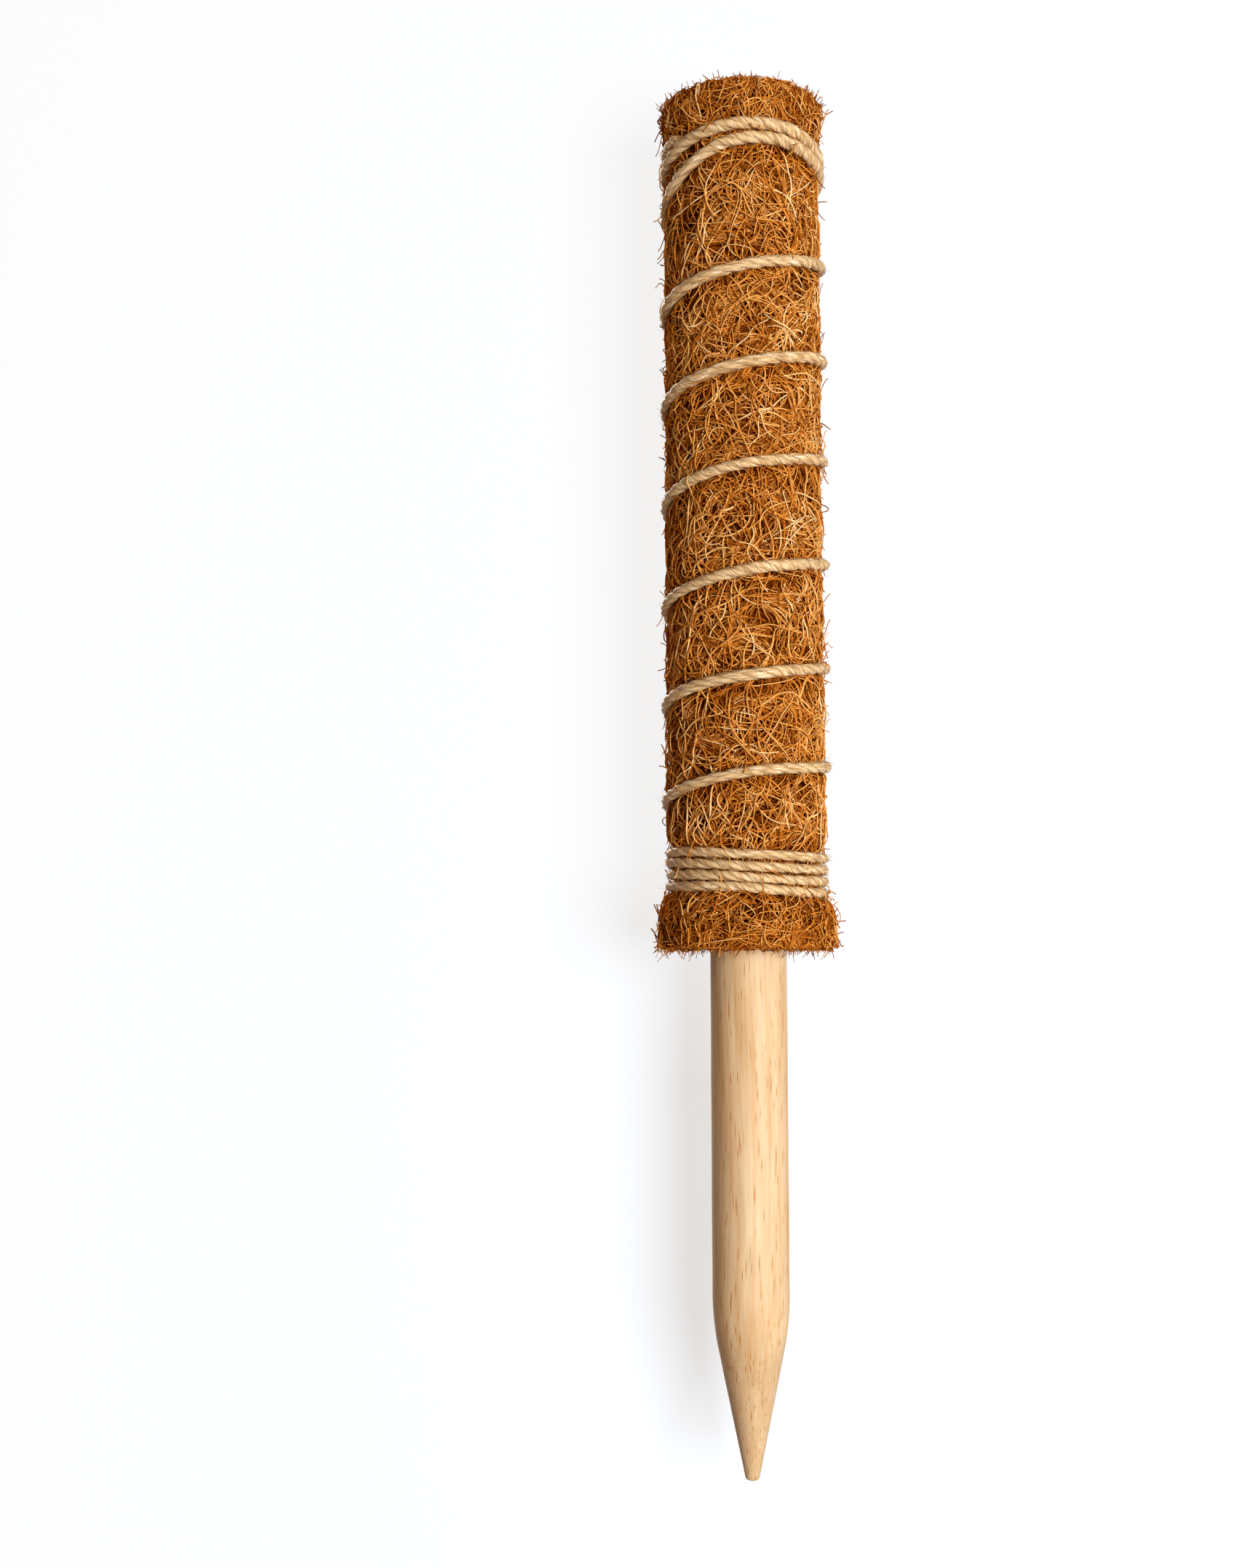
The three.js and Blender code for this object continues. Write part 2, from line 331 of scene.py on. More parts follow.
twine = {
    "diameter": 3.1,
    "girths": (0.93, 1.1, 1.1, 1.2),  # drawn thin in the lashing, looser towards the top
    "girthTurns": (-0.2, 0.3, -0.5, 0),  # from the lashing's end and the closing turns' start
    "routeDiameter": 2.8,
    "strands": 3,
    "strandRadius": 1.04,
    "strandOffset": 0.52,
    "lay": 15,  # mm for one full twist
    "sink": 0.4,  # how deep it beds into the mat
    "samples": 9000,
    "stepLength": 0.75,
    "sides": 8,
    "mapLength": 60,  # mm of twine that one run of the colour map covers
    "mapMargin": 0.01,
    "firstTurn": -0.5,
    "lashingTurns": 3.8,
    "spiralTurns": 6.12,
    "runUpTurns": 0.53,
    "closingTurns": 1.91,
    "stages": ("lashingTurns", "spiralTurns", "runUpTurns", "closingTurns"),
    "runUpSteepness": 1.69,
    "lashingGap": 0.45,
    "closingGap": 1.2,
    "lowerMargin": 14.4,
    "upperMargin": 11.8,
    "pitchBlend": 0.06,
    "sway": 1.9,  # the lower turns lie lower on the +X side
    "drift": 1.3,  # the spiral is tighter at its ends
    "arch": 4.5,  # the turns at the top stand higher at the front
    "bow": 1.0,  # all but the lashing bow up at the front
    "bowStart": 0.4,  # turns
    "firstBow": 1.3,  # and the lowest turn more
    "firstBowReach": 0.35,  # turns
    "tailTurns": 0.05,  # the upper end dives into the mat
    "tailDive": 3.0,
    "tailDrop": 2.2,
    "headTurns": 0.08,  # and so does the lower end
    "headDive": 2.6,
    "wander": (22, 0.17),  # steps between changes, and their size
    "twistDrift": (24, 0.4),
    "girthDrift": (28, 0.05),
    "strandDrift": (12, 0.06),
    "threadSlant": 1.6,  # in the colour map
    "threadsAcross": 30.0,
    "threadsAlong": 10.0,
    "nowhere": 99.0,  # mm, farther than any turn that counts
}
twine["lastTurn"] = twine["firstTurn"] + sum(twine[stage] for stage in twine["stages"])


def twineHeight(turn):
    lashingPitch = twine["routeDiameter"] + twine["lashingGap"]
    closingPitch = twine["routeDiameter"] + twine["closingGap"]
    rise = mat["length"] - twine["lowerMargin"] - twine["upperMargin"]
    rise -= twine["lashingTurns"] * lashingPitch + twine["closingTurns"] * closingPitch
    spiralPitch = rise / (twine["spiralTurns"] + twine["runUpTurns"] * twine["runUpSteepness"])
    pitches = (lashingPitch, spiralPitch, spiralPitch * twine["runUpSteepness"], closingPitch)
    height = twine["lowerMargin"] + lashingPitch * (turn - twine["firstTurn"])
    corner = twine["firstTurn"]
    for stage, before, after in zip(twine["stages"], pitches, pitches[1:]):
        corner += twine[stage]
        past = turn - corner
        height = height + (after - before) * (past + np.hypot(past, twine["pitchBlend"])) / 2
    runUpStart = corner - twine["runUpTurns"]
    spiralShare = np.clip((turn - runUpStart) / twine["spiralTurns"] + 1, 0, 1)
    archShare = smoothStep(np.clip((turn - runUpStart) / twine["runUpTurns"], 0, 1))
    height = height - twine["sway"] * (1 - spiralShare) * np.sin(turn * fullTurn)
    height = height - twine["drift"] * np.sin(spiralShare * fullTurn)
    lashingEnd = runUpStart - twine["spiralTurns"]
    lowest = fading(turn - math.ceil(lashingEnd), twine["firstBowReach"])
    bowed = np.clip((turn - lashingEnd) / twine["bowStart"], 0, 1)
    atFront = ((1 + np.cos(turn * fullTurn)) / 2) ** 2 * bowed
    height = height + (twine["bow"] + twine["firstBow"] * lowest) * atFront
    return height - twine["arch"] * archShare * (1 - np.cos(turn * fullTurn))


def twineGirth(turn):
    lashingEnd = twine["firstTurn"] + twine["lashingTurns"]
    closingStart = twine["lastTurn"] - twine["closingTurns"]
    corners = (lashingEnd, lashingEnd, closingStart, closingStart)
    return np.interp(turn, np.add(corners, twine["girthTurns"]), twine["girths"])


def twineGap(angle, height):  # mm up from the nearest turn
    nearest = np.full(np.broadcast(angle, height).shape, twine["nowhere"])
    part = (angle / fullTurn) % 1
    for whole in range(math.floor(twine["firstTurn"]), math.ceil(twine["lastTurn"])):
        turn = part + whole
        wound = (turn >= twine["firstTurn"]) & (turn <= twine["lastTurn"])
        gap = np.where(wound, height - twineHeight(turn), twine["nowhere"])
        nearest = np.where(np.abs(gap) < np.abs(nearest), gap, nearest)
    return nearest


# Coir: layers of single fibres, from deep to loose

coir = {
    "columns": 256,  # shades in the colour map
    "mapEnds": (0.002, 0.998),
    "sides": 3,
    "tipThick": 0.55,  # share of a fibre's thickness
    "bellyThick": 0.45,  # what its middle has on top of that
    "pressed": -0.9,  # mm, where fibres lie under the twine
    "pressedReach": 2.0,  # mm to each side of its middle
    "twinePaintedShade": 0.27,  # painted shade: how much darker the fibres are beside the twine
    "twinePaintedShadeReach": (4.6, 2.6),  # mm below and above it that the painted shade reaches
    "overTwine": 0.01,  # share of the long fibres that cross over it
    "overFrom": 60,  # mm, clear of the lashing
    "overClear": 0.2,  # mm
    "overPaler": 0.2,
    "bed": -2.3,  # mm, where fibres end inside the mat
    "ripple": (9, 26),  # mm, the waves along a fibre
    "weaveWaves": (8, 17),  # mm, its waves in and out
    "weaveDepth": (0.4, 1.3),
    "combWaves": 7,  # swells that turn the fibres' common direction from place to place
    "combFolds": (1, 8),
    "combSpacing": (18, 60),
    "combSwing": 0.5,
    "combLean": 0.4,
    "patchWaves": 8,  # swells that make patches of paler and darker fibres
    "patchFolds": (3, 14),
    "patchSpacing": (9, 30),
    "patchSwing": 0.055,
    "rimDark": 0.13,  # how much darker the fibres are towards both rims
    "rimDarkFrom": 16,  # mm in from a rim, and full at half of that
    # shades run darker in the deep layers and paler in the top ones: partly the fibres' own random tone,
    # partly painted shade in the mat's depths
    "layers": (
        {"name": "coir_fibres_deep", "pieces": 1, "count": 5200, "length": (9, 18), "points": 7,
         "combed": 1, "astray": 0.6, "bend": 0.08, "wave": 0.2, "lift": (-1.8, -0.9), "weave": 0.2,
         "thick": (0.34, 0.50), "shade": (0.0, 0.4)},
        {"name": "coir_fibres_combed", "pieces": 3, "count": 8400, "length": (12, 26), "points": 12,
         "combed": 1, "astray": 0.65, "bend": 0.07, "wave": 0.32, "lift": (-0.9, 0.25), "weave": 0.35,
         "thick": (0.27, 0.43), "shade": (0.1, 0.85)},
        {"name": "coir_curls", "pieces": 1, "count": 1500, "length": (8, 17), "points": 13,
         "combed": 0, "astray": 9, "bend": 0.17, "wave": 0.3, "lift": (-0.2, 0.6), "weave": 0.35,
         "thick": (0.36, 0.54), "shade": (0.3, 0.95)},
        {"name": "coir_fibres_long", "pieces": 2, "count": 2400, "length": (14, 36), "points": 18,
         "combed": 0, "astray": 9, "bend": 0.065, "wave": 0.42, "lift": (0.2, 1.0), "weave": 0.3,
         "thick": (0.40, 0.58), "shade": (0.5, 0.95)},
    ),
}


def makeSwells(count, folds, spacing):
    swells = []
    for number in range(count):
        around = random.integers(*folds)
        apart = random.choice([-1, 1]) * random.uniform(*spacing)
        swells.append((around, apart, random.uniform(0, fullTurn)))
    return swells


coir["comb"] = makeSwells(coir["combWaves"], coir["combFolds"], coir["combSpacing"])
coir["patches"] = makeSwells(coir["patchWaves"], coir["patchFolds"], coir["patchSpacing"])


def swellAt(swells, angle, height):
    return sum(np.sin(around * angle + height * fullTurn / apart + phase)
               for around, apart, phase in swells)


def combAngle(angle, height):
    return coir["combLean"] + coir["combSwing"] * swellAt(coir["comb"], angle, height)


def surfacePaths(count, layer):
    points = layer["points"]
    step = random.uniform(*layer["length"], count) / (points - 1)
    own = random.normal(0, layer["astray"], count)
    curve = random.normal(0, layer["bend"], count)
    swing = random.normal(0, layer["wave"], count)
    ripple = fullTurn / random.uniform(*coir["ripple"], count)
    phase = random.uniform(0, fullTurn, count)
    angle, height = np.empty((count, points)), np.empty((count, points))
    angle[:, 0] = random.uniform(0, fullTurn, count)
    height[:, 0] = random.uniform(mat["fibreLow"], mat["fibreHigh"], count)
    for point in range(1, points):
        run = point * step
        heading = own + curve * run + swing * np.sin(ripple * run + phase)
        heading += layer["combed"] * combAngle(angle[:, point - 1], height[:, point - 1])
        angle[:, point] = angle[:, point - 1] + np.cos(heading) * step / mat["radius"]
        height[:, point] = height[:, point - 1] + np.sin(heading) * step
    share = np.linspace(0, 1, points)[None, :]
    weave = fullTurn / random.uniform(*coir["weaveWaves"], count) * step
    overUnder = weave[:, None] * np.arange(points) + phase[:, None] * 3
    bob = random.uniform(*coir["weaveDepth"], count)[:, None] * np.sin(overUnder)
    top = random.uniform(*layer["lift"], count)[:, None] + layer["weave"] * bob
    return angle, height, coir["bed"] + (top - coir["bed"]) * np.sin(np.pi * share) ** 0.5


def shadeColumns(shade, count, paler):
    columns = coir["columns"]
    column = np.floor(np.clip(random.uniform(*shade, count) + paler, 0, 1) * (columns - 1)) / columns
    return np.stack([column, column + 1 / columns], axis=1)


def lengthMapOf(count, points):
    return np.broadcast_to(np.linspace(*coir["mapEnds"], points)[None, :], (count, points))


def fibreMesh(name, centres, outward, thick, shade, taper=1.0, paler=0.0, darker=0.0):
    count, points = centres.shape[:2]
    radii = random.uniform(*thick, count)[:, None] / 2 * np.broadcast_to(taper, (1, points))
    columns = shadeColumns(shade, count, paler)
    lengthMap = lengthMapOf(count, points)
    return strandMesh(name, centres, radii, outward, coir["sides"], columns, lengthMap, darker)


def makeCoirLayer(layer):
    count, points = layer["count"] // layer["pieces"], layer["points"]
    belly = np.sin(np.pi * np.linspace(0.04, 0.96, points)) ** 0.4  # full along most of the fibre
    taper = coir["tipThick"] + coir["bellyThick"] * belly
    below, above = coir["twinePaintedShadeReach"]
    made = []
    for number in range(layer["pieces"]):
        angle, height, offset = surfacePaths(count, layer)
        height = keepOnMat(height)
        gap = twineGap(angle, height)
        close = fading(gap, coir["pressedReach"])
        over = random.random(count)[:, None] < coir["overTwine"] * (layer["lift"][0] > 0)
        over = over & (height[:, :1] > coir["overFrom"])
        atTwine = np.where(over, twine["diameter"] + coir["overClear"], coir["pressed"])
        bound = boundRadius(angle, height) + atTwine
        free = freeRadius(angle, height) + offset
        centres = onPole(angle, free * (1 - close) + bound * close, height)
        midAngle, midHeight = angle[:, points // 2], height[:, points // 2]
        paler = coir["patchSwing"] * swellAt(coir["patches"], midAngle, midHeight)
        paler = paler + coir["overPaler"] * over[:, 0]
        fromRim = np.minimum(midHeight, mat["length"] - midHeight) / coir["rimDarkFrom"]
        paler = paler - coir["rimDark"] * np.clip(2 - 2 * fromRim, 0, 1)
        # painted shade: fibres turn darker along their length where they pass beside the twine
        darker = coir["twinePaintedShade"] * fading(gap, np.where(gap < 0, below, above)) * ~over
        name = layer["name"] if layer["pieces"] == 1 else f"{layer['name']}_{number + 1}"
        made.append(fibreMesh(name, centres, outwardAt(angle), layer["thick"], layer["shade"],
                              taper, paler, darker))
    return made


def coirFibreMaterial():
    material, tree, shader = newMaterial("coir_fibre")
    place = mapPlace(tree)
    colour = colourRamp(tree, axesOf(tree, place)["X"], (
        (0.0, fromSrgb(88, 36, 5)),
        (0.3, fromSrgb(162, 84, 18)),
        (0.6, fromSrgb(217, 136, 48)),
        (0.85, fromSrgb(244, 183, 101)),
        (1.0, fromSrgb(255, 218, 158)),
    ))
    stretched = vectorMaths(tree, "MULTIPLY", place, (coir["columns"], 9, 1))
    mottle = noise(tree, stretched, scale=1.0, detail=2.0)
    colour = timesLevel(tree, colour, mapRange(tree, mottle, 0.3, 0.7, 0.78, 1.15))
    feed(tree, shader, {"Base Color": colour, "Roughness": 0.8, "Specular IOR Level": 0.0})
    return material


coirMaterial = coirFibreMaterial()
for layer in coir["layers"]:
    for piece in makeCoirLayer(layer):
        piece.data.materials.append(coirMaterial)
    print("coir layer:", layer["name"])


# Loose fibres that stand off the mat, some anchored at both ends

strays = {
    "count": 2800,
    "length": (4, 11),
    "points": 9,
    "combed": 0,
    "astray": 9,
    "bend": 0.14,
    "wave": 0.25,
    "lift": (0.2, 0.6),
    "weave": 0,
    "thick": (0.26, 0.42),
    "shade": (0.3, 0.9),
    "looped": 0.35,  # share that is anchored at both ends
    "loopReach": 0.6,  # of what a free end has
    "lateRise": 1.6,  # a free end leaves the mat slowly
    "rootTop": 0.4,  # mm above the mat
    "reach": 2.8,  # mm, twice its usual spread
    "leastReach": 0.4,  # mm
    "mostReach": 1.7,  # times the reach
    "rimShare": 0.22,  # share that starts near a rim
    "rimBand": 15,  # mm
}


def makeStrays():
    count = strays["count"]
    angle, height, offset = surfacePaths(count, strays)
    share = np.linspace(0, 1, strays["points"])[None, :]
    looped = random.random(count)[:, None] < strays["looped"]
    rise = np.where(looped, np.sin(np.pi * share), share ** strays["lateRise"])
    reach = np.abs(random.normal(0, strays["reach"] / 2, count))[:, None] + strays["leastReach"]
    reach = np.where(looped, reach * strays["loopReach"], reach)
    reach = np.minimum(reach, strays["reach"] * strays["mostReach"])
    offset = np.minimum(offset, strays["rootTop"]) * (1 - rise) + reach * rise
    atRim = random.random(count)[:, None] < strays["rimShare"]
    rimHeight = random.uniform(-strays["rimBand"], strays["rimBand"], count)[:, None] % mat["length"]
    height = keepOnMat(np.where(atRim, rimHeight + height - height[:, :1], height))
    centres = onPole(angle, freeRadius(angle, height) + offset, height)
    return fibreMesh("coir_strays", centres, outwardAt(angle), strays["thick"], strays["shade"])


# Cut ends that bristle at both rims, loops over their edges, and short fibres in the cut faces

rims = {
    "faceLevel": (-0.4, 0.7),  # mm that the lower and upper faces lie inside the mat's ends
    "ends": 1800,
    "endPoints": 5,
    "standOut": (0.55, 0.28),  # mm past the lower and upper cut faces, on average
    "longest": (1.9, 1.4),  # mm, and at most
    "rooted": 1.6,  # mm inside the cut face
    "endThick": (0.26, 0.40),
    "endTaper": 0.7,
    "endShade": (0.05, 0.75),
    "endsFrom": 0.6,  # mm out from the bore
    "endsTo": 0.4,  # mm past the outside
    "atEdge": 0.2,  # share that crowds the outer edge
    "edgeDepth": 0.7,
    "edgeSpread": (0.2, 0.4),  # lean outwards, and how it varies
    "spread": (0.05, 0.35),
    "sideways": 2.0,
    "curl": 0.6,
    "mostCurl": 0.8,
    "loops": 700,
    "loopPoints": 10,
    "loopBow": (-0.3, 0.8),  # half turns over the edge
    "loopWide": (0.8, 3.4),  # mm in from the outside
    "loopDeep": (1.2, 5.0),  # mm down from the rim
    "loopOver": (0.1, 0.4),  # mm past the face, and how it varies
    "loopOverLimits": (-0.6, 1.0),
    "loopOut": (-0.6, 0.5),  # mm past the outside
    "loopSlant": 0.3,  # radians round the pole
    "lying": 1200,
    "lyingPoints": 7,
    "lyingLength": (4, 13),
    "lyingBend": 0.12,
    "lyingThick": (0.26, 0.42),
    "lyingDepth": (0.1, 1.0),  # mm inside the cut face
    "lyingFrom": 0.5,  # mm out from the bore
    "lyingTo": 0.6,  # mm in from the outside
    "innerShade": (0.0, 0.65),  # loops and lying fibres
}


def makeCutEnds(name, height, way):
    count, points, rim = rims["ends"], rims["endPoints"], way > 0
    angle = random.uniform(0, fullTurn, count)
    atEdge = random.random(count) < rims["atEdge"]
    inner, outer = mat["bore"] + rims["endsFrom"], freeRadius(angle, height) + rims["endsTo"]
    radius = inner + (outer - inner) * np.sqrt(random.random(count))
    radius = np.where(atEdge, outer - np.abs(random.normal(0, rims["edgeDepth"], count)), radius)
    edgeSpread, spread = random.normal(*rims["edgeSpread"], count), random.normal(*rims["spread"], count)
    spread = np.where(atEdge, edgeSpread, spread)
    sideways = random.normal(0, rims["sideways"], count)
    past = np.minimum(random.exponential(rims["standOut"][rim], count), rims["longest"][rim])
    around = np.stack([np.cos(angle), np.sin(angle), np.zeros(count)], axis=1)
    rootLevel = height - way * (rims["rooted"] + rims["faceLevel"][rim])
    start = onPole(angle, radius, np.full(count, rootLevel))
    heading = spread[:, None] * outwardAt(angle) + sideways[:, None] * around + np.array([0, 0, way])
    curl = np.clip(random.normal(0, rims["curl"], (count, 3)), -rims["mostCurl"], rims["mostCurl"])
    centres = curledPaths(start, unit(heading), curl, rims["rooted"] + past, points)
    outward = np.broadcast_to(around[:, None, :], centres.shape)
    taper = np.linspace(1, rims["endTaper"], points)
    return fibreMesh(name, centres, outward, rims["endThick"], rims["endShade"], taper)


def makeRimLoops(name, height, way):  # fibres that bend over the rim's outer edge
    count, points, rim = rims["loops"], rims["loopPoints"], way > 0
    bow = np.linspace(*rims["loopBow"], points)[None, :] * math.pi
    wide = random.uniform(*rims["loopWide"], count)[:, None]
    deep = random.uniform(*rims["loopDeep"], count)[:, None]
    over = np.clip(random.normal(*rims["loopOver"], count), *rims["loopOverLimits"])[:, None]
    over = over - rims["faceLevel"][rim]
    slant = random.normal(0, rims["loopSlant"], count)[:, None]
    angle = random.uniform(0, fullTurn, count)[:, None] + slant * bow / math.pi
    outer = freeRadius(angle, height) + random.uniform(*rims["loopOut"], count)[:, None]
    radius = outer - wide + wide * np.cos(bow)
    level = height - way * deep + way * (deep + over) * np.sin(bow)
    centres = onPole(angle, radius, level)
    outward = onPole(angle, np.cos(bow), way * np.sin(bow))
    return fibreMesh(name, centres, outward, rims["endThick"], rims["innerShade"])


def makeCutFace(name, height, way):
    count, points, rim = rims["lying"], rims["lyingPoints"], way > 0
    inner, outer = mat["bore"] + rims["lyingFrom"], freeRadius(0.0, height) - rims["lyingTo"]
    radius = inner + (outer - inner) * np.sqrt(random.random(count))
    middle = onPole(random.uniform(0, fullTurn, count), radius, np.zeros(count))
    run = np.linspace(-0.5, 0.5, points)[None, :] * random.uniform(*rims["lyingLength"], count)[:, None]
    heading = random.uniform(0, fullTurn, count)[:, None]
    heading = heading + random.normal(0, rims["lyingBend"], count)[:, None] * run
    stepLength = run[:, 1:2] - run[:, :1]
    x = middle[:, :1] + np.cumsum(np.cos(heading) * stepLength, axis=1)
    y = middle[:, 1:2] + np.cumsum(np.sin(heading) * stepLength, axis=1)
    far = np.hypot(x, y)
    kept = np.clip(foldBetween(far, inner, outer), inner, outer)
    sunk = rims["faceLevel"][rim] + random.uniform(*rims["lyingDepth"], count)
    level = np.repeat((height - way * sunk)[:, None], points, axis=1)
    centres = np.stack([x * kept / far, y * kept / far, level], axis=2)
    outward = np.broadcast_to(np.array([0.0, 0.0, way]), centres.shape)
    return fibreMesh(name, centres, outward, rims["lyingThick"], rims["innerShade"])


loose = [makeStrays()]
for name, height, way in (("lower", 0.0, -1.0), ("upper", float(mat["length"]), 1.0)):
    loose.append(makeCutEnds(f"coir_cut_ends_{name}", height, way))
    loose.append(makeRimLoops(f"coir_rim_loops_{name}", height, way))
    loose.append(makeCutFace(f"coir_cut_face_{name}", height, way))
for piece in loose:
    piece.data.materials.append(coirMaterial)
print("coir rims and strays")


# Felt core: a flat sheet, rolled twice round the dowel, thickened and roughened

felt = {
    "across": 120,
    "rows": 60,
    "ends": (1.0, 247.8),  # mm, inside the cut faces
    "inset": 1.5,  # mm, room for the fibres
    "thinnest": 0.1,  # share of the thickness, at the sheet's edges
    "lumps": 0.9,  # mm
    "lumpSize": 2.4,
}


def layersClimbed(rolled):
    layers = np.zeros_like(rolled)
    for wrap in range(mat["wraps"]):
        layers += np.clip((rolled - wrap * fullTurn) / mat["seamAngle"], 0, 1)
    return layers


def makeFelt():
    nothingSelected()
    bpy.ops.mesh.primitive_grid_add(x_subdivisions=felt["across"], y_subdivisions=felt["rows"], size=1)
    piece = bpy.context.object
    piece.name = "coir_felt"
    flat = np.empty(len(piece.data.vertices) * 3)
    piece.data.vertices.foreach_get("co", flat)
    flat = flat.reshape(-1, 3)
    edge = mat["seamAngle"] * (mat["edgeThickness"] + mat["wrapGap"]) / mat["step"]
    rolled = edge + (flat[:, 0] + 0.5) * (mat["wraps"] * fullTurn + mat["seamAngle"] - 2 * edge)
    height = felt["ends"][0] + (flat[:, 1] + 0.5) * (felt["ends"][1] - felt["ends"][0])
    outer = mat["bore"] + mat["step"] * layersClimbed(rolled) - mat["wrapGap"]
    inner = mat["bore"] + mat["step"] * layersClimbed(rolled - fullTurn)
    narrow = np.minimum(boundRadius(0.0, height), freeRadius(0.0, height))
    swell = (narrow - mat["bore"]) / (mat["radius"] - mat["bore"])
    outer = mat["bore"] + (outer - mat["bore"]) * swell - felt["inset"]
    inner = mat["bore"] + (inner - mat["bore"]) * swell
    places = onPole(mat["seamStart"] + rolled, outer, height) * mm
    piece.data.vertices.foreach_set("co", places.ravel())
    group = piece.vertex_groups.new(name="thickness")
    for number, share in enumerate(np.clip((outer - inner) / mat["thickness"], felt["thinnest"], 1)):
        group.add([number], float(share), "REPLACE")
    thicken = piece.modifiers.new("thicken", "SOLIDIFY")
    thicken.thickness = mat["thickness"] * mm
    thicken.offset = -1
    thicken.vertex_group = "thickness"
    addLumps(piece, "felt_lumps", felt["lumpSize"], felt["lumps"])
    applyModifiers(piece)
    bpy.ops.object.shade_smooth()
    return piece


def feltMaterial():
    material, tree, shader = newMaterial("coir_felt")
    place = objectPlace(tree)
    tangle = noise(tree, place, scale=900.0, detail=5.0, roughness=0.65)
    # darker browns than the fibres: painted shade for the mat's depths that show between them
    colour = colourRamp(tree, tangle, (
        (0.3, fromSrgb(52, 18, 2)),
        (0.5, fromSrgb(108, 48, 8)),
        (0.7, fromSrgb(160, 82, 20)),
    ))
    addBump(tree, shader, tangle, strength=0.8, depth=0.6 * mm)
    feed(tree, shader, {"Base Color": colour, "Roughness": 0.9, "Specular IOR Level": 0.0})
    return material


felted = makeFelt()
felted.data.materials.append(feltMaterial())
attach(felted, "root")
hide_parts("coir_mat")
print("felt core")


# Twine: three twisted strands along the route, with loose hairs

hairs = {
    "count": 5200,
    "points": 5,
    "loose": 0.3,  # share that stands off, the others lie along the strands
    "clearEnds": 20,  # steps of the twine that have none
    "around": 2.2,  # radians to each side of the twine's outside
    "rooted": (0.35, 0.1),  # mm under the surface, loose and lying
    "slant": 0.5,  # along the strands' twist
    "slantSpread": (0.6, 0.25),
    "standing": (0.1, 0.6),
    "lying": 0.03,
    "length": (1.0, 3.2),
    "curl": (0.3, 0.08),
    "cling": 0.12,  # lying hairs bend back to the twine
    "radius": (0.04, 0.07),
    "tip": 0.5,
    "shadeFrom": 0.22,  # where a strand's painted highlight lies in the colour map
    "shades": 16,
}


def twineCentreLine():
    turn = np.linspace(twine["firstTurn"], twine["lastTurn"], twine["samples"])
    height = twineHeight(turn)
    radius = boundRadius(turn * fullTurn, height) + twine["diameter"] / 2 - twine["sink"]
    tail = np.clip((turn - twine["lastTurn"] + twine["tailTurns"]) / twine["tailTurns"], 0, 1)
    head = np.clip((twine["firstTurn"] + twine["headTurns"] - turn) / twine["headTurns"], 0, 1)
    radius = radius - twine["tailDive"] * smoothStep(tail) - twine["headDive"] * smoothStep(head)
    height = height - twine["tailDrop"] * smoothStep(tail)
    path = onPole(turn * fullTurn, radius, height)
    run = np.concatenate([[0], np.cumsum(np.linalg.norm(np.diff(path, axis=0), axis=1))])
    places = np.arange(0, run[-1], twine["stepLength"])
    even = np.stack([np.interp(places, run, path[:, axis]) for axis in range(3)], axis=1)
    return even, places, np.interp(places, run, turn)


def softNoise(count, spacing, size):  # smooth random wander along a line
    knots = random.normal(0, size, count // spacing + 3)
    return np.interp(np.arange(count) / spacing, np.arange(len(knots)), knots)


def makeTwine():
    line, run, turn = twineCentreLine()
    count, strands = len(line), twine["strands"]
    along = unit(np.gradient(line, axis=0))
    side = unit(np.cross(along, outwardAt(turn * fullTurn)))
    lift = np.cross(side, along)
    line = line + softNoise(count, *twine["wander"])[:, None] * side
    twist = run / twine["lay"] * fullTurn + softNoise(count, *twine["twistDrift"])
    centres, radii, outward, columns, lengths = [], [], [], [], []
    fold = np.abs((run / twine["mapLength"] + 1) % 2 - 1)
    girth = twineGirth(turn) * (1 + softNoise(count, *twine["girthDrift"]))
    for strand in range(strands):
        angle = twist + strand * fullTurn / strands
        away = np.cos(angle)[:, None] * lift + np.sin(angle)[:, None] * side
        swell = girth + softNoise(count, *twine["strandDrift"])
        centres.append(line + (twine["strandOffset"] * girth)[:, None] * away)
        radii.append(twine["strandRadius"] * swell)
        outward.append(away)
        low, high = strand / strands, (strand + 1) / strands
        columns.append((low + twine["mapMargin"], high - twine["mapMargin"]))
        lengths.append(fold)
    piece = strandMesh("twine_strands", np.array(centres), np.array(radii), np.array(outward),
                       twine["sides"], np.array(columns), np.array(lengths))
    return piece, line, along, lift, side, girth


